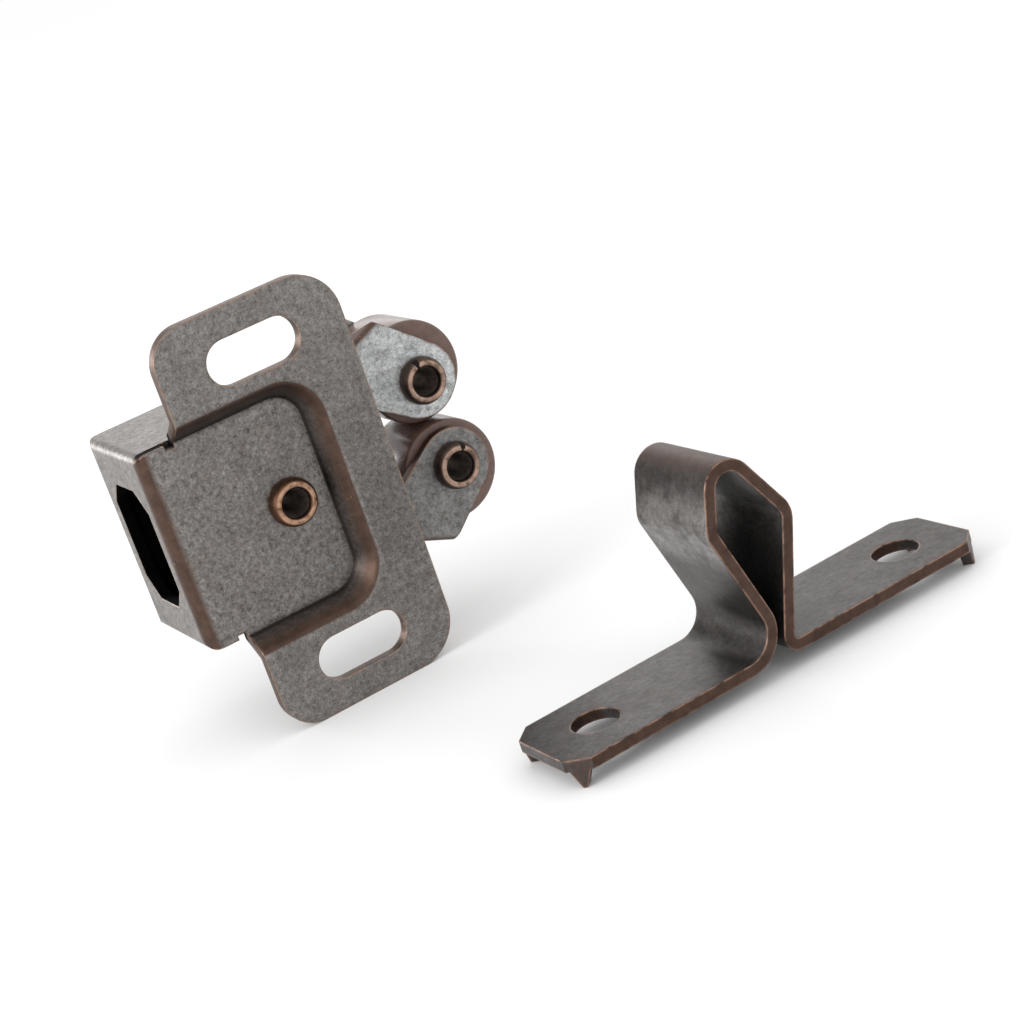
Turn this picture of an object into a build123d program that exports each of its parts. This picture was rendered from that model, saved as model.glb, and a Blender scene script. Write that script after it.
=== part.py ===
from build123d import *
import os
from math import atan2, cos, radians, sin, tan

# Double roller catch and its strike, in millimetres. The origin is the middle of the mounting plate's face.
# The plate stands upright, as on the side wall of a cabinet: +Z runs up the plate, +X towards the rollers
# and +Y into the case, away from the wall. The catch is drawn lying down, with the plate's face up along +Z
# and its upper slot at +Y, and stood up when it is written. The strike is drawn as it stands.

# Mounting plate
plate_width = 20.0
sheet = 1.2
front_corner_radius = 4.8
rear_corner_radius = 3.8
slot_spacing = 32.0
slot_length = 10.0
slot_width = 4.6
slot_end_margin = 3.0

# Pocket drawn into the plate, open at the rear
pocket_depth = 2.4
pocket_slot_land = 1.5
pocket_wall_run = 1.7
pocket_front_margin = 5.2
floor_corner_radius = 3.0
rim_roll = 0.8

# Case folded behind the pocket floor
case_depth = 17.6
rear_overhang = 4.0
bend_radius = 0.4
case_corner_radius = 0.9
side_slit = 0.4
relief_length = 1.0
relief_depth = 0.45
side_wall_front = -2.2
far_plate_reach = 7.0
far_plate_setback = 1.9
far_corner_radius = 3.0
rear_hole_width = 12.8
rear_hole_height = 9.2
rear_hole_corner = 2.2

# Arms: one channel stamping, used twice
arm_sheet = 1.0
arm_side_gap = 0.35
ear_gap = 0.1
pivot_x = -0.9
web_reach = 5.24
web_splay = 22.5
web_front = 19.3
web_waist = 1.8
tail_side_gap = 1.3
tail_corner_x = -4.6
tail_end_x = -10.3
plan_bend_radius = 1.6
channel_bend_radius = 1.1
tail_inset = 1.5
ear_strip = 2.5
ear_tip_radius = 3.95
ear_root = 9.0
lobe_radius = 3.2
lobe_root = 6.0
web_notch_depth = 3.4
web_notch_shoulder = 1.2
pivot_clearance = 0.08

# Rollers
roller_radius = 5.35
roller_x = 17.6
roller_gap = 0.1
roller_end_gap = 0.4
roller_edge = 0.3
roller_play = 0.8

# Tubular rivets
rivet_radius = 1.5
rivet_wall = 0.4
rivet_base_radius = 2.5
rivet_rim_radius = 2.1
rivet_rim_band = 0.45
rivet_head_height = 1.4
rivet_tail_radius = 2.5
rivet_tail_thickness = 0.5
rivet_fit = 0.04
rim_notch_depth = 0.55
rim_notch_width = 0.65
upper_split_angle = 102.0
lower_split_angle = 64.0
rivet_shift = 0.75

# Spring between the arms' tails
spring_x = -7.3
spring_radius = 2.3
spring_wire = 0.7
spring_turns = 4
spring_end_gap = 0.1
pip_radius = 1.45
pip_height = 0.8

# Strike: a folded strip with a bulb, on four corner prongs
strike_sheet = 1.1
strike_width = 11.4
strike_hole_spacing = 35.0
strike_hole_radius = 2.3
strike_end_margin = 6.0
strike_corner = 1.9
prong_drop = 1.7
prong_base = 2.3
prong_tip = 0.4
prong_bend = 0.7
strike_x = 23.0
strike_y = -35.0
bulb_foot = 0.3
bulb_neck_foot = 0.2
bulb_left = -3.95
bulb_left_height = 12.75
bulb_right = 4.1
bulb_right_height = 11.6
bulb_apex = -1.55
bulb_apex_height = 21.1
foot_radius = 3.2
left_shoulder_radius = 1.8
apex_radius = 2.05
right_shoulder_radius = 2.1
neck_foot_radius = 0.95

# Reach within which an edge counts as lying on a plane, and how a shape is aligned that stands on its base
near = 0.01
on_base = (Align.CENTER, Align.CENTER, Align.MIN)

plate_length = slot_spacing + slot_width + 2 * slot_end_margin
plate_front = plate_width / 2
plate_rear = -plate_width / 2
rear_face = plate_rear - rear_overhang
rim_front = plate_front - pocket_front_margin
floor_half_width = (slot_spacing - slot_width) / 2 - pocket_slot_land - pocket_wall_run
floor_front = rim_front - pocket_wall_run
floor_top = -pocket_depth
floor_under = floor_top - sheet
far_inside = -case_depth + sheet
middle_z = (floor_under + far_inside) / 2
outer_bend = bend_radius + sheet
wall_inside = floor_half_width - sheet

arm_height = floor_under - far_inside - 2 * arm_side_gap - arm_sheet - ear_gap
upper_arm_near = floor_under - arm_side_gap - arm_sheet - ear_gap
upper_arm_far = upper_arm_near - arm_height
splay = radians(web_splay)
tail_height = wall_inside - tail_side_gap
roller_y = roller_radius + roller_gap
rivet_y = roller_y - rivet_shift
strike_length = strike_hole_spacing + 2 * strike_end_margin
strike_level = -plate_length / 2 + prong_drop + strike_sheet


def tongue(half_width, front, rear, corner):
    """Plan outline with a square rear end and two rounded front corners."""
    outline = Pos((front + rear) / 2, 0) * Rectangle(front - rear, 2 * half_width)
    return fillet(outline.vertices().group_by(Axis.X)[-1], corner)


def slab(outline, top, bottom):
    """Solid between two heights with the given plan outline."""
    return extrude(Pos(0, 0, bottom) * outline, top - bottom)


def mounting_plate():
    """Flat plate with its four rounded corners."""
    outline = Rectangle(plate_width, plate_length)
    outline = fillet(outline.vertices().group_by(Axis.X)[-1], front_corner_radius)
    outline = fillet(outline.vertices().group_by(Axis.X)[0], rear_corner_radius)
    return slab(outline, 0, -sheet)


def pocket_shape(spread, top, rear):
    """Tapered block of the drawn pocket, one sheet lower and wider for its outside."""
    rim = tongue(floor_half_width + pocket_wall_run + spread, rim_front + spread, rear,
                 floor_corner_radius + pocket_wall_run + spread)
    floor = tongue(floor_half_width + spread, floor_front + spread, rear, floor_corner_radius + spread)
    return loft([Pos(0, 0, top) * rim, Pos(0, 0, top - pocket_depth) * floor])


def case_plan():
    """Plan of the case, with its two rounded rear corners."""
    length = side_wall_front - rear_face
    plan = Pos(rear_face + length / 2, 0) * Rectangle(length, 2 * floor_half_width)
    return fillet(plan.vertices().group_by(Axis.X)[0], case_corner_radius)


def case_floor():
    """Floor behind the plate's edge and the bend down into the rear wall."""
    level = floor_top - sheet / 2
    down = rear_face + sheet / 2
    bend = FilletPolyline((floor_front - floor_corner_radius, level), (down, level), (down, middle_z),
                          radius=bend_radius + sheet / 2)
    strip = extrude(Plane.XZ * trace(bend, sheet), floor_half_width, both=True)
    plan = case_plan() + tongue(floor_half_width, floor_front, side_wall_front, floor_corner_radius)
    return strip & slab(plan, 0, -case_depth)


def case_pan():
    """Rear wall, far plate and side walls, with a slit left under the floor."""
    length = side_wall_front - rear_face
    side_view = Pos(rear_face + length / 2, -case_depth / 2) * Rectangle(length, case_depth)
    rear_corner = side_view.vertices().group_by(Axis.Y)[0].sort_by(Axis.X)[0]
    side_view = fillet(rear_corner, outer_bend)
    outside = slab(case_plan(), floor_under - side_slit, -case_depth)
    outside &= extrude(Plane.XZ * side_view, floor_half_width, both=True)
    rear_inside = rear_face + sheet
    plan = Pos((rear_inside + plate_front) / 2, 0) * Rectangle(plate_front - rear_inside, 2 * wall_inside)
    cavity = slab(fillet(plan.vertices().group_by(Axis.X)[0], bend_radius), 0, far_inside)
    far_half_width = floor_half_width - far_plate_setback
    far_outline = tongue(far_half_width, far_plate_reach, side_wall_front, far_corner_radius)
    return outside - cavity + slab(far_outline, far_inside, -case_depth)


def rear_hole():
    """Eight-sided hole in the rear wall, through which the spring goes in."""
    outline = Rectangle(rear_hole_width, rear_hole_height)
    outline = chamfer(outline.vertices(), rear_hole_corner)
    return Pos(rear_face, 0, middle_z) * extrude(Plane.YZ * outline, 2 * sheet, both=True)


def side_reliefs():
    """Small notches where the floor leaves the plate's rear edge."""
    notch = Box(relief_length, 2 * relief_depth, 3 * sheet)
    x = plate_rear - relief_length / 2
    return [Pos(x, side * floor_half_width, floor_top) * notch for side in (1, -1)]


def pocket_rim(body):
    """Edges where the pocket's wall leaves the plate's face, without the plate's own outline."""
    half_width = floor_half_width + pocket_wall_run
    on_face = body.edges().filter_by_position(Axis.Z, -near, near)
    across = on_face.filter_by_position(Axis.Y, -half_width - near, half_width + near)
    return across.filter_by_position(Axis.X, plate_rear - near, rim_front + near)


def make_housing():
    wall_spread = sheet * tan(atan2(pocket_depth, pocket_wall_run) / 2)
    body = mounting_plate() + pocket_shape(wall_spread, -sheet, plate_rear)
    body -= pocket_shape(0, 0, rear_face - sheet)
    body = fillet(pocket_rim(body), rim_roll)
    body += case_floor()
    body += case_pan()
    body -= rear_hole()
    body -= side_reliefs()
    slot = extrude(SlotOverall(slot_length, slot_width), 2 * sheet, both=True)
    body -= [Pos(0, side * slot_spacing / 2) * slot for side in (1, -1)]
    body -= Pos(pivot_x, 0, middle_z) * Cylinder(rivet_radius + rivet_fit, 2 * case_depth)
    return body


def along_web(distance, reach):
    """Plan point at a distance along the web's front run and a reach out from the pivot."""
    x = pivot_x + distance * cos(splay) - reach * sin(splay)
    return (x, distance * sin(splay) + reach * cos(splay))


def web_line():
    """Plan line of the web's outer face, from its front end to its tail."""
    return FilletPolyline(along_web(web_front, web_reach), along_web(web_waist, web_reach),
                          (tail_corner_x, tail_height), (tail_end_x, tail_height), radius=plan_bend_radius)


def web_plan():
    """Plan of the whole web, one sheet thick, inwards from its outer face."""
    outline = offset(web_line(), arm_sheet, kind=Kind.INTERSECTION, side=Side.LEFT, closed=True)
    return make_face(outline.edges())


def along_strip(width):
    """Plan strip of a given width, inwards from the outer face of the web's front run."""
    inner = web_reach - width
    return Polygon(along_web(web_waist, inner), along_web(web_front, inner), along_web(web_front, web_reach),
                   along_web(web_waist, web_reach), align=None)


def ear_outline():
    """Plan of one ear: tip round the roller rivet, strip along the web and lobe round the pivot."""
    tip = (Pos(roller_x, rivet_y) * Rot(0, 0, 180) * Circle(ear_tip_radius)).edges()
    root = Line(along_web(ear_root, web_reach), along_web(web_front, web_reach)).edges()
    lobe = (Pos(pivot_x, 0) * Rot(0, 0, 90) * Circle(lobe_radius)).edges()
    lobe_seat = Line(along_web(web_waist, web_reach), along_web(lobe_root, web_reach)).edges()
    return along_strip(ear_strip) + make_hull(tip + root) + make_hull(lobe + lobe_seat)


def web_notch():
    """Cut that sets the web back between the two ears at its front end."""
    mouth = arm_height / 2 - arm_sheet
    foot = mouth - web_notch_shoulder - web_notch_depth / 2
    outline = Polygon((0, mouth), (-web_notch_depth, foot), (-web_notch_depth, -foot), (0, -mouth),
                      (web_notch_depth, -mouth), (web_notch_depth, mouth), align=None)
    origin = (*along_web(web_front, web_reach), upper_arm_near - arm_height / 2)
    end = Plane(origin=origin, x_dir=(cos(splay), sin(splay), 0), z_dir=(-sin(splay), cos(splay), 0))
    return extrude(end * outline, 2 * arm_sheet, both=True)


def make_upper_arm():
    """Channel with two ears, and the web alone as its tail, with a pip for the spring."""
    block = slab(ear_outline(), upper_arm_near, upper_arm_far)
    web_middle = Vertex(*along_web(web_front / 2, web_reach), middle_z)
    web_face = block.faces().sort_by_distance(web_middle)[0]
    block = fillet([e for e in web_face.edges() if abs(e.tangent_at(0.5).Z) < near], channel_bend_radius)
    ear_layer = Box(4 * roller_x, 4 * roller_x, arm_sheet, align=on_base)
    layers = slab(along_strip(arm_sheet), upper_arm_near, upper_arm_far)
    layers += [Pos(0, 0, bottom) * ear_layer for bottom in (upper_arm_near - arm_sheet, upper_arm_far)]
    arm = block & layers
    arm += slab(web_plan(), upper_arm_near - tail_inset, upper_arm_far + tail_inset)
    arm -= web_notch()
    arm -= Pos(pivot_x, 0, middle_z) * Cylinder(rivet_radius + pivot_clearance, 2 * case_depth)
    arm -= Pos(roller_x, rivet_y, middle_z) * Cylinder(rivet_radius + rivet_fit, 2 * case_depth)
    pip = Cylinder(pip_radius, pip_height, align=on_base)
    arm += Pos(spring_x, tail_height - arm_sheet, middle_z) * Rot(90, 0, 0) * pip
    return arm


def turned_over(shape):
    """The same piece turned over about the case's middle line."""
    return Pos(0, 0, middle_z) * Rot(180, 0, 0) * Pos(0, 0, -middle_z) * shape


def make_roller():
    """Roller at the upper arm, loose on its rivet and pressed outwards by the other roller."""
    length = arm_height - 2 * arm_sheet - 2 * roller_end_gap
    roller = Cylinder(roller_radius, length)
    roller = chamfer(roller.edges(), roller_edge)
    roller -= Cylinder(rivet_radius + roller_play, 2 * length)
    return Pos(roller_x, roller_y, upper_arm_near - arm_height / 2) * roller


def tubular_rivet(grip):
    """Tubular rivet down the Z axis from its seat at zero, with a rolled rim above and a flat tail."""
    bore = rivet_radius - rivet_wall
    tail_end = -grip - rivet_tail_thickness
    outline = Polyline((rivet_rim_radius, rivet_head_height), (rivet_base_radius, 0), (rivet_radius, 0),
                       (rivet_radius, -grip), (rivet_tail_radius, -grip), (rivet_tail_radius, tail_end),
                       (bore, tail_end), (bore, 0), (rivet_rim_radius - rivet_rim_band, rivet_head_height),
                       close=True)
    return revolve(Plane.XZ * make_face(outline.edges()), Axis.Z)


def make_roller_rivet(y, seat, split_angle):
    """Rivet that holds a roller between an arm's two ears, its rim split by a notch at one side."""
    wedge = Polygon((0, -rim_notch_depth), (rim_notch_width / 2, 0), (-rim_notch_width / 2, 0), align=None)
    cut = extrude(Plane.YZ * wedge, rivet_base_radius)
    rivet = tubular_rivet(arm_height) - Rot(0, 0, split_angle) * Pos(0, 0, rivet_head_height) * cut
    return Pos(roller_x, y, seat) * rivet


def make_spring():
    """Compression spring along Y with ground ends, its wire drawn six-sided."""
    length = 2 * (tail_height - arm_sheet - spring_end_gap)
    run = length + 2 * spring_wire
    path = Helix(length / spring_turns, run, spring_radius)
    section = Plane(path @ 0, z_dir=path % 0) * RegularPolygon(spring_wire / 2, 6)
    coil = Pos(spring_x, -run / 2, middle_z) * Rot(-90, 0, 0) * sweep(section, path, is_frenet=True)
    return coil & Pos(spring_x, 0, middle_z) * Box(4 * spring_radius, length, 4 * spring_radius)


def strike_profile():
    """Side view of the folded strip: plate, soft foot, bulb, tight foot, plate."""
    level = -strike_sheet / 2
    end = strike_length / 2
    line = FilletPolyline((-end, level), (bulb_foot, level), (bulb_left, bulb_left_height),
                          (bulb_apex, bulb_apex_height), (bulb_right, bulb_right_height),
                          (bulb_neck_foot, level), (end, level),
                          radius=(foot_radius, left_shoulder_radius, apex_radius, right_shoulder_radius,
                                  neck_foot_radius))
    return trace(line, strike_sheet)


def prong(corner_x, corner_y):
    """Triangular spike bent down from one cut corner of the strike."""
    inset = strike_corner / 2
    sx = 1 if corner_x > 0 else -1
    sy = 1 if corner_y > 0 else -1
    middle = (corner_x - sx * inset, corner_y - sy * inset, 0)
    foot = Plane(origin=middle, x_dir=(-sy, sx, 0), z_dir=(sx, sy, 0))
    drop = strike_sheet + prong_drop
    spike = Polygon((-prong_base / 2, -prong_bend), (prong_base / 2, -prong_bend), (prong_tip / 2, -drop),
                    (-prong_tip / 2, -drop), align=None)
    return extrude(foot * spike, strike_sheet, dir=(-sx, -sy, 0))


def make_strike():
    strip = extrude(Plane.XZ * strike_profile(), strike_width / 2, both=True)
    corners = strip.edges().filter_by(Axis.Z).group_by(Axis.X)
    strip = chamfer(corners[0] + corners[-1], strike_corner)
    for x in (-strike_length / 2, strike_length / 2):
        for y in (-strike_width / 2, strike_width / 2):
            strip += prong(x, y)
    strip -= [Pos(side * strike_hole_spacing / 2, 0) * Cylinder(strike_hole_radius, 4 * strike_sheet)
              for side in (1, -1)]
    return Pos(strike_x, strike_y, strike_level) * strip


def make_catch():
    """Every piece of the catch, lying with its mounting face up."""
    arm = make_upper_arm()
    roller = make_roller()
    pivot = tubular_rivet(floor_top + case_depth)
    lower_seat = upper_arm_near + arm_sheet + ear_gap
    return {
        "housing": make_housing(),
        "pivot_rivet": Pos(pivot_x, 0, floor_top) * pivot,
        "upper_arm": arm,
        "lower_arm": turned_over(arm),
        "upper_roller": roller,
        "lower_roller": turned_over(roller),
        "upper_roller_rivet": make_roller_rivet(rivet_y, upper_arm_near, upper_split_angle),
        "lower_roller_rivet": make_roller_rivet(-rivet_y, lower_seat, lower_split_angle),
        "spring": make_spring(),
    }


pieces = {name: Rot(90, 0, 0) * shape for name, shape in make_catch().items()}
pieces["strike"] = make_strike()

os.makedirs("parts", exist_ok=True)
for name, shape in pieces.items():
    export_step(shape, f"parts/{name}.step")
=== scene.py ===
from math import cos, pi, radians, sin

import bmesh
import bpy
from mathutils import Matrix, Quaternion, Vector


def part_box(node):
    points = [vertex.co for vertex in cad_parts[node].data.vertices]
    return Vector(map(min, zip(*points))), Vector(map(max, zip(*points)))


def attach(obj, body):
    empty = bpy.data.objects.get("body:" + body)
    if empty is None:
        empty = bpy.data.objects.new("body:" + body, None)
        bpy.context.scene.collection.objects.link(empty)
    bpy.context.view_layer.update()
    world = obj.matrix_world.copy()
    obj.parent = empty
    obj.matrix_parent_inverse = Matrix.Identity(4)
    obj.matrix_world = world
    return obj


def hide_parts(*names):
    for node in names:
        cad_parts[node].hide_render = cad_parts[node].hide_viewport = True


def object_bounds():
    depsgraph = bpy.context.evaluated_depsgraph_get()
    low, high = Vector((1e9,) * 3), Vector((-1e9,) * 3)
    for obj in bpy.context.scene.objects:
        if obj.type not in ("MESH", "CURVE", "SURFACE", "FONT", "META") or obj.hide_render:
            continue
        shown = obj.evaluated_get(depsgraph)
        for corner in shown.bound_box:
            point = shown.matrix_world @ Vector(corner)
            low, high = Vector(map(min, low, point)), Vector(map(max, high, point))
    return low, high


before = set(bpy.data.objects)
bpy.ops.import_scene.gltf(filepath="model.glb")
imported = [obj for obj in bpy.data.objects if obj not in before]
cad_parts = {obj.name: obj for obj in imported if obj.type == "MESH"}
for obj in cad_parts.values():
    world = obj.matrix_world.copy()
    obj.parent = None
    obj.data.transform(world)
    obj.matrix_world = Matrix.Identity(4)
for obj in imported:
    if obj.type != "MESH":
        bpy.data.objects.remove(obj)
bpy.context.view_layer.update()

# The housing is one drawn and folded sheet of steel, plated with copper and then blackened. The
# dark finish stays on the flats as a fine grey speckle and is brown on the drawn walls and bends.
# It is rubbed off to copper along the cut edges. Inside the case it is rougher and painted nearly
# black as shade, and its creases and the deep part of its pocket are painted darker as shade.


def maths(tree, operation, *values):
    """One math node; each value is a number or a socket."""
    node = tree.nodes.new("ShaderNodeMath")
    node.operation = operation
    for socket, value in zip(node.inputs, values):
        if isinstance(value, (int, float)):
            socket.default_value = value
        else:
            tree.links.new(value, socket)
    return node.outputs["Value"]


def stretched(tree, value, gain, base):
    """A value times a gain, plus a base."""
    return maths(tree, "MULTIPLY_ADD", value, gain, base)


def rest_of(tree, share):
    """What a share leaves of 1."""
    return maths(tree, "SUBTRACT", 1.0, share)


def all_of(tree, *shares):
    """Product of shares."""
    product = shares[0]
    for share in shares[1:]:
        product = maths(tree, "MULTIPLY", product, share)
    return product


def any_of(tree, *shares):
    """Largest of some shares."""
    largest = shares[0]
    for share in shares[1:]:
        largest = maths(tree, "MAXIMUM", largest, share)
    return largest


def ramp(tree, source, low, high):
    """Smooth step of a value from 0 at low to 1 at high."""
    node = tree.nodes.new("ShaderNodeMapRange")
    node.interpolation_type = "SMOOTHSTEP"
    node.inputs["From Min"].default_value = low
    node.inputs["From Max"].default_value = high
    tree.links.new(source, node.inputs["Value"])
    return node.outputs["Result"]


def within(tree, value, low, high, soft):
    """1 between two limits and 0 outside them, with soft ends."""
    above = ramp(tree, value, low - soft, low + soft)
    return maths(tree, "SUBTRACT", above, ramp(tree, value, high - soft, high + soft))


def grain(tree, place, scale, detail=2.0, roughness=0.5):
    """Noise value at a place, centred on a half."""
    node = tree.nodes.new("ShaderNodeTexNoise")
    node.inputs["Scale"].default_value = scale
    node.inputs["Detail"].default_value = detail
    node.inputs["Roughness"].default_value = roughness
    tree.links.new(place, node.inputs["Vector"])
    return node.outputs["Fac"]


def blend(tree, share, first, second):
    """Mix of two colours; each is a value or a socket."""
    node = tree.nodes.new("ShaderNodeMix")
    node.data_type = "RGBA"
    tree.links.new(share, node.inputs["Factor"])
    for label, value in (("A", first), ("B", second)):
        socket = [s for s in node.inputs if s.name == label and s.type == "RGBA"][0]
        if isinstance(value, tuple):
            socket.default_value = (*value, 1.0)
        else:
            tree.links.new(value, socket)
    return [s for s in node.outputs if s.type == "RGBA"][0]


def scaled(tree, colour, share):
    """Colour times a value."""
    node = tree.nodes.new("ShaderNodeVectorMath")
    node.operation = "SCALE"
    tree.links.new(colour, node.inputs[0])
    tree.links.new(share, node.inputs["Scale"])
    return node.outputs["Vector"]


def parts_of(tree, vector):
    """The X, Y and Z of a vector socket."""
    node = tree.nodes.new("ShaderNodeSeparateXYZ")
    tree.links.new(vector, node.inputs["Vector"])
    return node.outputs["X"], node.outputs["Y"], node.outputs["Z"]


def facing(tree):
    """The X, Y and Z of the way that the surface faces."""
    return parts_of(tree, tree.nodes.new("ShaderNodeTexCoord").outputs["Normal"])


def size_of(tree, value):
    """A value without its sign."""
    return maths(tree, "ABSOLUTE", value)


def new_group(name, inputs, outputs):
    """Node group with named sockets: inputs as (name, type), outputs too."""
    group = bpy.data.node_groups.new(name, "ShaderNodeTree")
    for direction, sockets in (("INPUT", inputs), ("OUTPUT", outputs)):
        for label, kind in sockets:
            group.interface.new_socket(label, in_out=direction, socket_type=kind)
    return group, group.nodes.new("NodeGroupInput"), group.nodes.new("NodeGroupOutput")


def wear_and_shade_places():
    """Where a piece is rubbed and where shade is painted: its outer edges, and its inner creases.
    """
    number = "NodeSocketFloat"
    reaches = [("Edge Reach", number), ("Crease Reach", number)]
    group, given, made = new_group("wear places", reaches, [("Edge", number), ("Crease", number)])
    for label, from_inside in (("Edge", True), ("Crease", False)):
        rays = group.nodes.new("ShaderNodeAmbientOcclusion")
        rays.samples = 8
        rays.inside = from_inside
        rays.only_local = True
        group.links.new(given.outputs[label + " Reach"], rays.inputs["Distance"])
        group.links.new(rest_of(group, rays.outputs["AO"]), made.inputs[label])
    return group


def patina_and_shade():
    """Blackened copper from its browned and rubbed shares, with painted shade in its creases and
    recesses.
    """
    colour_kind, number = "NodeSocketColor", "NodeSocketFloat"
    colours = [(label, colour_kind) for label in ("Flat", "Brown", "Copper")]
    numbers = [(label, number) for label in ("Contrast", "Browned", "Edge", "Crease", "Dull And Shaded")]
    results = [("Colour", colour_kind), ("Roughness", number), ("Height", number)]
    group, given, made = new_group("patina_and_shade", colours + numbers, results)
    given = given.outputs
    place = group.nodes.new("ShaderNodeTexCoord").outputs["Object"]
    speck = grain(group, place, scale=5200, detail=2.0, roughness=0.8)
    mottle = grain(group, place, scale=1700, detail=3.0, roughness=0.7)
    patch = grain(group, place, scale=900, detail=3.0, roughness=0.6)
    stain = grain(group, place, scale=620, detail=3.0, roughness=0.6)
    cloud = grain(group, place, scale=330, detail=3.0, roughness=0.6)
    fleck = grain(group, place, scale=1500, detail=1.5, roughness=0.5)

    uneven = maths(group, "SUBTRACT", maths(group, "ADD", speck, mottle), 1.0)
    uneven = stretched(group, uneven, gain=given["Contrast"], base=1.0)
    uneven = all_of(group, uneven, stretched(group, cloud, gain=0.7, base=0.65))
    brown = scaled(group, given["Brown"], stretched(group, patch, gain=1.0, base=0.5))
    browned = all_of(group, given["Browned"], ramp(group, patch, 0.05, 0.3))
    colour = blend(group, browned, scaled(group, given["Flat"], uneven), brown)
    stained = all_of(group, ramp(group, stain, 0.5, 0.72), 0.25)
    colour = blend(group, stained, colour, brown)
    flecked = all_of(group, ramp(group, fleck, 0.73, 0.77), 0.5)
    colour = blend(group, flecked, colour, given["Copper"])
    rubbed = all_of(group, ramp(group, given["Edge"], 0.08, 0.42), ramp(group, patch, 0.30, 0.60))
    colour = blend(group, rubbed, colour, given["Copper"])
    # Painted shade: near black in the creases, and nearer black in the dull recesses.
    crease_shade_colour, recess_shade_colour = (0.012, 0.009, 0.008), (0.006, 0.005, 0.005)
    painted_shade = all_of(group, ramp(group, given["Crease"], 0.05, 0.24), 0.85)
    colour = blend(group, painted_shade, colour, crease_shade_colour)
    colour = blend(group, given["Dull And Shaded"], colour, recess_shade_colour)
    group.links.new(colour, made.inputs["Colour"])

    rough = stretched(group, speck, gain=0.22, base=0.33)
    rough = stretched(group, rubbed, gain=-0.12, base=rough)
    rough = stretched(group, given["Dull And Shaded"], gain=0.4, base=rough)
    group.links.new(rough, made.inputs["Roughness"])
    group.links.new(stretched(group, mottle, gain=0.7, base=speck), made.inputs["Height"])
    return group


WEAR_AND_SHADE = wear_and_shade_places()
PATINA_AND_SHADE = patina_and_shade()
GRIT_DEPTH = 0.00003


def shared(tree, group, values):
    """Node that runs a shared group, with some of its inputs set."""
    node = tree.nodes.new("ShaderNodeGroup")
    node.node_tree = group
    for label, value in values.items():
        node.inputs[label].default_value = value
    return node


def new_material(name):
    """Material with its tree and its surface shader."""
    material = bpy.data.materials.new(name)
    material.use_nodes = True
    tree = material.node_tree
    return material, tree, tree.nodes["Principled BSDF"]


def add_relief(tree, surface, height, strength):
    """Gives a surface fine relief from a height, and gives back the node."""
    relief = tree.nodes.new("ShaderNodeBump")
    relief.inputs["Strength"].default_value = strength
    relief.inputs["Distance"].default_value = GRIT_DEPTH
    tree.links.new(height, relief.inputs["Height"])
    tree.links.new(relief.outputs["Normal"], surface.inputs["Normal"])
    return relief


def plated(name, flat, brown, copper, contrast, edge_reach=0.00022, crease_reach=0.0005,
           rounding=0.00035, grit=0.6):
    """Blackened copper in its own colours, with painted shade in its creases: the material, its
    tree, its wear and shade node and its coat node.
    """
    material, tree, surface = new_material(name)
    surface.inputs["Metallic"].default_value = 1.0
    wear_and_shade = shared(tree, WEAR_AND_SHADE, {"Edge Reach": edge_reach, "Crease Reach": crease_reach})
    colours = {"Flat": (*flat, 1.0), "Brown": (*brown, 1.0), "Copper": (*copper, 1.0)}
    coat = shared(tree, PATINA_AND_SHADE, {**colours, "Contrast": contrast})
    for label in ("Edge", "Crease"):
        tree.links.new(wear_and_shade.outputs[label], coat.inputs[label])
    round_edge = tree.nodes.new("ShaderNodeBevel")
    round_edge.samples = 6
    round_edge.inputs["Radius"].default_value = rounding
    relief = add_relief(tree, surface, coat.outputs["Height"], grit)
    tree.links.new(round_edge.outputs["Normal"], relief.inputs["Normal"])
    tree.links.new(coat.outputs["Colour"], surface.inputs["Base Color"])
    tree.links.new(coat.outputs["Roughness"], surface.inputs["Roughness"])
    return material, tree, wear_and_shade, coat


def finish_node(node, material):
    """Gives a CAD node its finished material."""
    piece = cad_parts[node]
    piece.data.materials.clear()
    piece.data.materials.append(material)


def in_box(tree, place, low, high, soft):
    """1 inside a box given by its lowest and highest corners, with soft sides."""
    return all_of(tree, *(within(tree, *span, soft) for span in zip(place, low, high)))


case_finish, tree, wear_and_shade, coat = plated(
    "blackened_copper_case", flat=(0.212, 0.197, 0.186), brown=(0.092, 0.059, 0.046),
    copper=(0.35, 0.232, 0.160), contrast=2.0, crease_reach=0.0008)
place = parts_of(tree, tree.nodes.new("ShaderNodeTexCoord").outputs["Object"])
x, y, z = place
facing_x, facing_y = (size_of(tree, part) for part in facing(tree)[:2])

sheet = 0.0012
pocket_depth = 0.0024
floor_back = pocket_depth + sheet
rear_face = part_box("housing")[0].x
far_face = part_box("housing")[1].y
wall_inside = 0.0093
crisp = 0.0001

turned = rest_of(tree, ramp(tree, facing_y, 0.86, 0.998))
shallow = rest_of(tree, ramp(tree, y, floor_back + 0.0002, floor_back + 0.0010))
rear_band = within(tree, x, rear_face - 0.002, rear_face + 0.0011, soft=0.0004)
pocket_start, pocket_end = -0.0098, 0.0060
wall_top, foot_top, pocket_bottom = 0.0008, 0.00212, pocket_depth + 0.0003
wall_at_pocket = all_of(tree, turned, within(tree, x, pocket_start, pocket_end, soft=0.0002))
pocket_wall = all_of(tree, wall_at_pocket, within(tree, y, wall_top, pocket_bottom, soft=0.0005))
wall_foot = all_of(tree, wall_at_pocket, within(tree, y, foot_top, pocket_bottom, soft=0.00008))
deep_wall = all_of(tree, pocket_wall, ramp(tree, y, 0.0007, 0.0021))
greyed = stretched(tree, deep_wall, gain=-0.6, base=1.0)
browned = all_of(tree, any_of(tree, turned, rear_band), shallow, greyed)
tree.links.new(browned, coat.inputs["Browned"])

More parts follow.
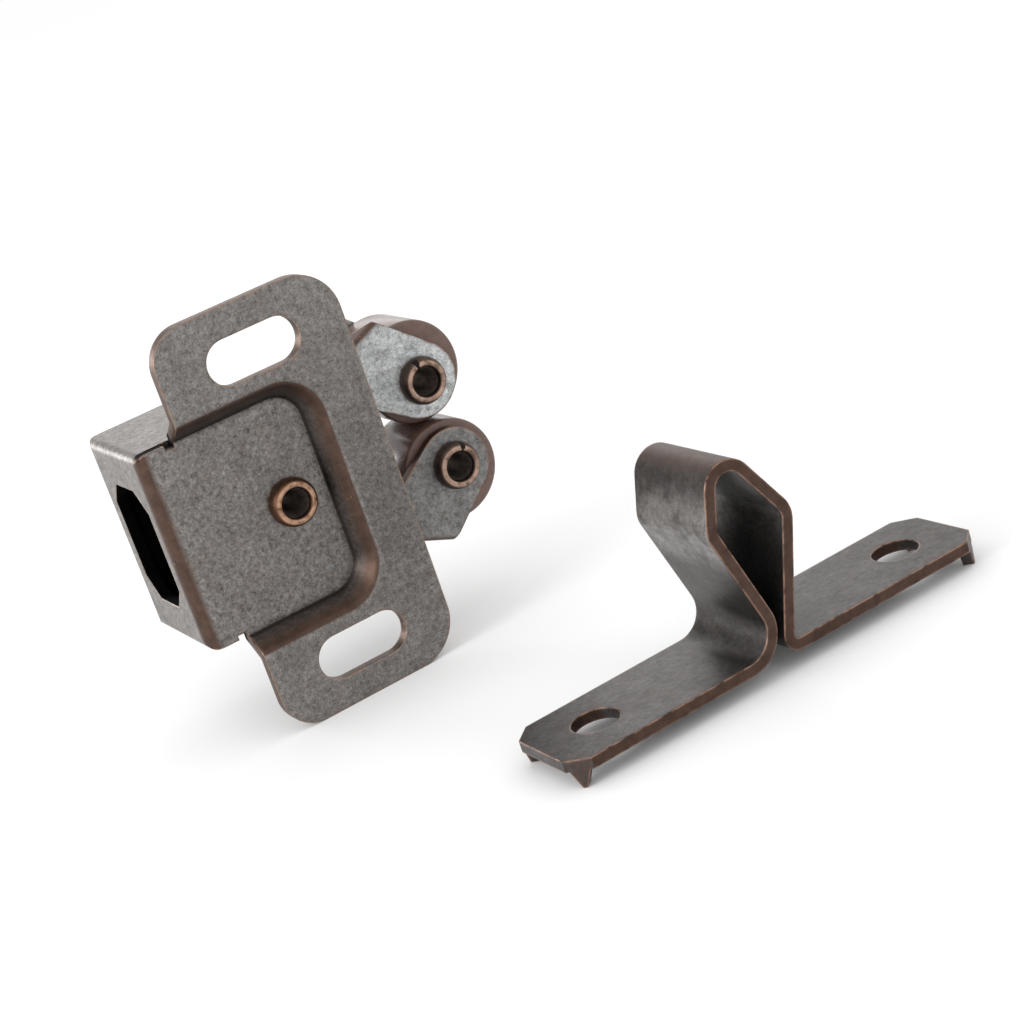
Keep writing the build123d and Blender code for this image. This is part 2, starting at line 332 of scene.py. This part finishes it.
# Painted shade: the crease mask, the pocket wall darker and darker with depth, and a dark line at
# the wall's foot.
painted_shade = wear_and_shade.outputs["Crease"]
for shaded_place, amount in ((pocket_wall, 0.085), (deep_wall, 0.095), (wall_foot, 0.2)):
    painted_shade = stretched(tree, shaded_place, gain=amount, base=painted_shade)
tree.links.new(painted_shade, coat.inputs["Crease"])

sharp_edge, drawn_lip = 0.00035, 0.00075
lip_start, lip_end, lip_side = -0.0125, 0.0072, 0.0127
around_lip = all_of(tree, within(tree, x, lip_start, lip_end, soft=0.0003),
                    within(tree, z, -lip_side, lip_side, soft=0.0003),
                    rest_of(tree, ramp(tree, y, 0.0016, 0.0022)))
tree.links.new(stretched(tree, around_lip, gain=drawn_lip - sharp_edge, base=sharp_edge),
               tree.nodes["Bevel"].inputs["Radius"])

open_front = 0.02
cavity = in_box(tree, place, (rear_face + sheet, floor_back - crisp, -wall_inside - crisp),
                (open_front, far_face - sheet + 0.8 * crisp, wall_inside + crisp), soft=crisp)
hole_near, hole_far, hole_side = 0.005, 0.015, 0.0066
rear_hole = in_box(tree, place, (rear_face - 2 * crisp, hole_near, -hole_side),
                   (rear_face + sheet + 2 * crisp, hole_far, hole_side), soft=crisp)
hole_sides = all_of(tree, maths(tree, "LESS_THAN", facing_x, 0.5), rear_hole)
slit_start, slit_end, slit_side = -0.0137, -0.0090, 0.0100
slit_near, slit_far = 0.0030, 0.0041
slit = all_of(tree, ramp(tree, size_of(tree, z), slit_side - crisp, slit_side + crisp),
              within(tree, y, slit_near, slit_far, soft=crisp),
              within(tree, x, slit_start, slit_end, soft=2 * crisp))
# Painted shade: inside the case, the rear hole's sides and the slit are painted near black, and
# made rougher.
tree.links.new(any_of(tree, cavity, hole_sides, slit), coat.inputs["Dull And Shaded"])
finish_node("housing", case_finish)

# The two arms are one channel stamping of plated steel, used twice, one turned over. They turn on
# the pivot rivet. Their ears are rubbed lighter and bluer than the housing, and the web and its
# bends are browned. The upper ear is painted much lighter than the lower as a painted highlight, so
# the two ear colours are a lit and a shaded copy of one finish.

# Painted highlight: the upper ear gets a much lighter copy of the lower ear's colour.
ear_lit_and_shaded_colours = {"upper_arm": (0.47, 0.485, 0.48), "lower_arm": (0.225, 0.222, 0.215)}
for node, ear_painted_light_colour in ear_lit_and_shaded_colours.items():
    ear_finish, tree, _, coat = plated(
        "burnish_and_painted_light_" + node, flat=ear_painted_light_colour, brown=(0.10, 0.065, 0.05),
        copper=(0.26, 0.145, 0.105), contrast=1.65, edge_reach=0.0003)
    ear_side = ramp(tree, size_of(tree, facing(tree)[1]), 0.6, 0.995)
    tree.links.new(rest_of(tree, ear_side), coat.inputs["Browned"])
    finish_node(node, ear_finish)

# The rivets are copper-plated tubes, rolled over at the front and spread flat at the far end. Their
# rims are rubbed to bright copper, the pivot's to a more golden one, and their bores are dark. The
# roller rivets split a little when they were rolled; the split is not cut into the mesh, and its
# faces are painted near black as the shade inside it.


def turned_profile(outline, steps):
    """Mesh spun about the Y axis from a closed outline of (radius, y), in metres.

    Its corners and faces are sorted along a skew line, so that each run gives the same mesh.
    """
    sharp = radians(38)
    skew = Vector((1.0, 0.73, 0.41))
    mesh = bmesh.new()
    ring = [mesh.verts.new((radius, along, 0)) for radius, along in outline]
    edges = [mesh.edges.new((a, b)) for a, b in zip(ring, ring[1:] + ring[:1])]
    bmesh.ops.spin(mesh, geom=ring + edges, cent=(0, 0, 0), axis=(0, 1, 0), angle=2 * pi,
                   steps=steps, use_merge=True)
    bmesh.ops.remove_doubles(mesh, verts=mesh.verts, dist=1e-7)
    bmesh.ops.recalc_face_normals(mesh, faces=mesh.faces)
    for face in mesh.faces:
        face.smooth = True
    for edge in mesh.edges:
        edge.smooth = edge.calc_face_angle(0.0) < sharp
    mesh.verts.sort(key=lambda corner: corner.co.dot(skew))
    mesh.faces.sort(key=lambda face: face.calc_center_median().dot(skew))
    return mesh


def place_piece(name, mesh, centre, materials, node, body):
    """Moves a spun mesh to its place and lets it stand for a CAD node."""
    bmesh.ops.translate(mesh, verts=mesh.verts, vec=centre)
    piece = bpy.data.objects.new(name, bpy.data.meshes.new(name))
    mesh.to_mesh(piece.data)
    mesh.free()
    for material in materials:
        piece.data.materials.append(material)
    bpy.context.scene.collection.objects.link(piece)
    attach(piece, body)
    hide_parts(node)


def rim_finish(name, flat, copper):
    """Copper plate that is rubbed bright where it faces the front, with painted shade in its
    creases.
    """
    material, tree, wear_and_shade, coat = plated(
        name, flat, brown=(0.05, 0.03, 0.022), copper=copper, contrast=1.0, crease_reach=0.004,
        rounding=0.00005, grit=0.9)
    rub, painted_shade = 0.36, 0.5
    to_front = maths(tree, "MULTIPLY", facing(tree)[1], -1.0)
    tree.links.new(all_of(tree, ramp(tree, to_front, 0.55, 1.0), rub), coat.inputs["Edge"])
    # Painted shade in the rivet's creases, at half strength.
    tree.links.new(all_of(tree, wear_and_shade.outputs["Crease"], painted_shade), coat.inputs["Crease"])
    return material


bore_finish = plated("dark_bore", flat=(0.36, 0.31, 0.28), brown=(0.20, 0.16, 0.13),
                     copper=(0.36, 0.26, 0.20), contrast=1.6, crease_reach=0.0001)[0]
split_shade_finish = plated("painted_split_shade", flat=(0.02, 0.016, 0.014), brown=(0.02, 0.015, 0.012),
                      copper=(0.03, 0.02, 0.015), contrast=0.5)[0]
rubbed_rim = rim_finish("rubbed_rivet", flat=(0.080, 0.056, 0.046), copper=(0.50, 0.335, 0.255))
golden_rim = rim_finish("golden_rivet", flat=(0.110, 0.056, 0.034), copper=(0.56, 0.345, 0.225))

shank_radius = 0.0015
rim_radius = 0.0025
bore_radius = 0.0011
tail_height = 0.0005
tail_edge = 0.0002
outer_roll = [(0.00248, 0), (rim_radius, -0.0003), (0.00245, -0.00075), (0.00234, -0.00108),
              (0.00218, -0.00128), (0.00198, -0.00138), (0.00182, -0.0014)]
inner_roll = [(0.00166, -0.00134), (0.00154, -0.00118), (0.00148, -0.0009), (0.00138, -0.0003),
              (0.0012, 0.0003), (bore_radius, 0.0009)]
bore_mouth, bore_start = 0.00149, -0.00095
split_start, split_half, split_taper = -0.0007, 0.00036, 0.26

rivets = (
    {"node": "pivot_rivet", "body": "housing", "rim": golden_rim,
     "seat": pocket_depth, "grip": 0.0152, "split": None},
    {"node": "upper_roller_rivet", "body": "upper_arm", "rim": rubbed_rim,
     "seat": 0.00505, "grip": 0.011, "split": 102},
    {"node": "lower_roller_rivet", "body": "lower_arm", "rim": rubbed_rim,
     "seat": 0.00395, "grip": 0.011, "split": 64},
)
for rivet in rivets:
    node, grip = rivet["node"], rivet["grip"]
    tail = [(bore_radius, grip + tail_height), (rim_radius - tail_edge, grip + tail_height),
            (rim_radius, grip + tail_height - tail_edge), (rim_radius, grip)]
    shank = [(shank_radius, grip), (shank_radius, 0)]
    mesh = turned_profile(shank + outer_roll + inner_roll + tail, steps=96)
    for face in mesh.faces:
        middle = face.calc_center_median()
        out = Vector((middle.x, 0, middle.z))
        if out.length < bore_mouth and middle.y > bore_start:
            face.material_index = 1
        # Painted shade: the faces where the split lies get a near-black colour.
        elif rivet["split"] is not None and middle.y < split_start:
            side = Vector((cos(radians(rivet["split"])), 0, sin(radians(rivet["split"]))))
            half_width = split_half - split_taper * (rim_radius - out.length)
            if out.dot(side) > 0 and abs(out.cross(side).y) < half_width:
                face.material_index = 2
    low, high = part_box(node)
    place_piece(node + "_turned", mesh, ((low.x + high.x) / 2, rivet["seat"], (low.z + high.z) / 2),
                (rivet["rim"], bore_finish, split_shade_finish), node, rivet["body"])

# The rollers are turned from brown nylon, with rounded edges. They are loose on their rivets,
# between the ears of their arm, and their barrels are rolled smoother than their flanks.

nylon, tree, surface = new_material("brown_nylon")
place = tree.nodes.new("ShaderNodeTexCoord").outputs["Object"]
wear_and_shade = shared(tree, WEAR_AND_SHADE, {"Edge Reach": 0.0006, "Crease Reach": 0.001})
streak = grain(tree, place, scale=1500, detail=3.0, roughness=0.6)
base = tree.nodes.new("ShaderNodeRGB").outputs["Color"]
base.default_value = (0.138, 0.078, 0.061, 1)
edge_colour = (0.055, 0.028, 0.021)
body_colour = scaled(tree, base, stretched(tree, streak, gain=0.9, base=0.55))
tree.links.new(blend(tree, ramp(tree, wear_and_shade.outputs["Edge"], 0.05, 0.5), body_colour, edge_colour),
               surface.inputs["Base Color"])
surface.inputs["Specular IOR Level"].default_value = 0.6
flank = ramp(tree, size_of(tree, facing(tree)[1]), 0.5, 0.95)
rough = stretched(tree, flank, gain=0.22, base=0.12)
tree.links.new(stretched(tree, streak, gain=0.2, base=rough), surface.inputs["Roughness"])
add_relief(tree, surface, grain(tree, place, scale=5000), strength=0.3)

roller_bore = 0.0023
edge_radius = 0.0004
bore_chamfer = 0.0002
for node in ("upper_roller", "lower_roller"):
    low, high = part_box(node)
    radius = (high.x - low.x) / 2
    half = (high.y - low.y) / 2
    lip = [(roller_bore, half - bore_chamfer), (roller_bore + bore_chamfer, half)]
    corner = [(radius - edge_radius + edge_radius * sin(radians(turn)),
               half - edge_radius + edge_radius * cos(radians(turn))) for turn in (0, 30, 60, 90)]
    outline = lip + corner
    outline += [(around, -along) for around, along in reversed(outline)]
    mesh = turned_profile(outline, steps=96)
    place_piece(node + "_turned", mesh, (low + high) / 2, (nylon,), node, node)

# The spring is plain drawn steel wire, painted dark as the shade of the inside of the case. It sits
# over the pips on the arms' tails and pushes them apart, which closes the rollers.

# Painted shade: the wire's colour is darkened for the dark inside of the case.
wire = plated("wire_with_painted_shade", flat=(0.10, 0.095, 0.09), brown=(0.05, 0.035, 0.03),
              copper=(0.3, 0.2, 0.15), contrast=0.5)[0]
finish_node("spring", wire)

# The strike is a strip of the same plated steel, a little darker and smoother, folded into a loop
# that the rollers grip. They burnish its sides, which are painted much lighter, as burnish and as a
# painted highlight. The top of the loop is painted brown as shade, and its inside and the plate by
# its foot are painted darker and rougher, as shade. Two screws hold it to the door, with the prongs
# at its corners in the wood.

strike_flat, burnish_and_sheen_flat = (0.108, 0.101, 0.097), (0.30, 0.288, 0.278)
strike_finish, tree, wear_and_shade, coat = plated(
    "blackened_copper_strike", flat=strike_flat, brown=(0.080, 0.050, 0.039),
    copper=(0.33, 0.20, 0.145), contrast=1.3, grit=0.45)
place = tree.nodes.new("ShaderNodeTexCoord").outputs["Object"]
z = parts_of(tree, place)[2]
facing_x, facing_y, facing_z = facing(tree)
cut_faces = ramp(tree, size_of(tree, facing_y), 0.5, 0.9)
# Painted shade: the upward faces at the top of the loop are browned.
ridge_shade = all_of(tree, ramp(tree, facing_z, 0.45, 0.95), ramp(tree, z, -0.004, -0.001), 0.8)
tree.links.new(any_of(tree, cut_faces, ridge_shade), coat.inputs["Browned"])
grip_low, grip_high = -0.0092, -0.0028
# Burnish where the rollers rub, and a painted highlight: the sides are painted much lighter.
burnish_and_sheen = all_of(tree, ramp(tree, size_of(tree, facing_x), 0.7, 0.98),
                   within(tree, z, grip_low, grip_high, soft=0.0016),
                   ramp(tree, grain(tree, place, scale=500), 0.15, 0.6))
tree.links.new(blend(tree, burnish_and_sheen, strike_flat, burnish_and_sheen_flat), coat.inputs["Flat"])
# Painted shade: the more a place is enclosed by the loop, the darker it is painted, near black
# inside.
loop_inside_shade = shared(tree, WEAR_AND_SHADE, {"Edge Reach": 0.0003, "Crease Reach": 0.012}).outputs["Crease"]
tree.links.new(ramp(tree, loop_inside_shade, 0.5, 0.85), coat.inputs["Dull And Shaded"])
shaded = ramp(tree, loop_inside_shade, 0.05, 0.4)
painted_shade = stretched(tree, shaded, gain=0.12, base=wear_and_shade.outputs["Crease"])
tree.links.new(painted_shade, coat.inputs["Crease"])
finish_node("strike", strike_finish)

# The floor is a wide white sheet, as under the real one. The light is a white surround with soft
# studio lights behind and to the left, whose sheen lies on the case's side and on the loop.

floor_half, floor_clearance = 1.5, 0.00002
floor_mesh = bmesh.new()
bmesh.ops.create_grid(floor_mesh, x_segments=1, y_segments=1, size=floor_half)
floor_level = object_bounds()[0].z - floor_clearance
bmesh.ops.translate(floor_mesh, verts=floor_mesh.verts, vec=(0, 0, floor_level))
floor = bpy.data.objects.new("floor", bpy.data.meshes.new("floor"))
floor_mesh.to_mesh(floor.data)
floor_mesh.free()
bpy.context.scene.collection.objects.link(floor)
paper, _, surface = new_material("white_paper")
surface.inputs["Base Color"].default_value = (0.93, 0.93, 0.93, 1)
surface.inputs["Roughness"].default_value = 0.9
surface.inputs["Specular IOR Level"].default_value = 0.0
floor.data.materials.append(paper)

world = bpy.data.worlds.new("surround")
bpy.context.scene.world = world
world.use_nodes = True
world.node_tree.nodes["Background"].inputs["Color"].default_value = (1, 1, 1, 1)
world.node_tree.nodes["Background"].inputs["Strength"].default_value = 1.06
bpy.context.scene.view_settings.view_transform = "Standard"


def softbox(name, place, aim, size, power):
    """Square area light at a place, turned towards a point."""
    light = bpy.data.lights.new(name, "AREA")
    light.size = size
    light.energy = power
    lamp = bpy.data.objects.new(name, light)
    lamp.location = place
    lamp.rotation_mode = "QUATERNION"
    lamp.rotation_quaternion = (Vector(aim) - Vector(place)).to_track_quat("-Z", "Y")
    bpy.context.scene.collection.objects.link(lamp)


softbox("behind_right", place=(0.28, 0.62, 0.26), aim=(0.01, 0, 0), size=0.3, power=0.31)
softbox("behind_left", place=(-0.28, 0.62, 0.10), aim=(0.01, 0, 0), size=0.2, power=1.0)
softbox("left", place=(-0.55, -0.10, 0.22), aim=(0.02, -0.03, 0), size=0.25, power=1.2)

# The camera stands as in the photograph: left of the plate's middle, above it, and turned
# clockwise, because there the catch leans over on the table.

aim = Vector((0.01576, -0.00976, -0.00699))
distance = 0.22621
azimuth = radians(24.27)
elevation = radians(19.05)
roll = radians(18.84)
sight = Vector((sin(azimuth) * cos(elevation), cos(azimuth) * cos(elevation), -sin(elevation)))
lens = bpy.data.cameras.new("camera")
lens.lens = 81.38
lens.sensor_width = 36.0
lens.clip_start = 0.01
camera = bpy.data.objects.new("camera", lens)
camera.location = aim - distance * sight
camera.rotation_mode = "QUATERNION"
camera.rotation_quaternion = sight.to_track_quat("-Z", "Y") @ Quaternion((0, 0, 1), -roll)
bpy.context.scene.collection.objects.link(camera)
bpy.context.scene.camera = camera
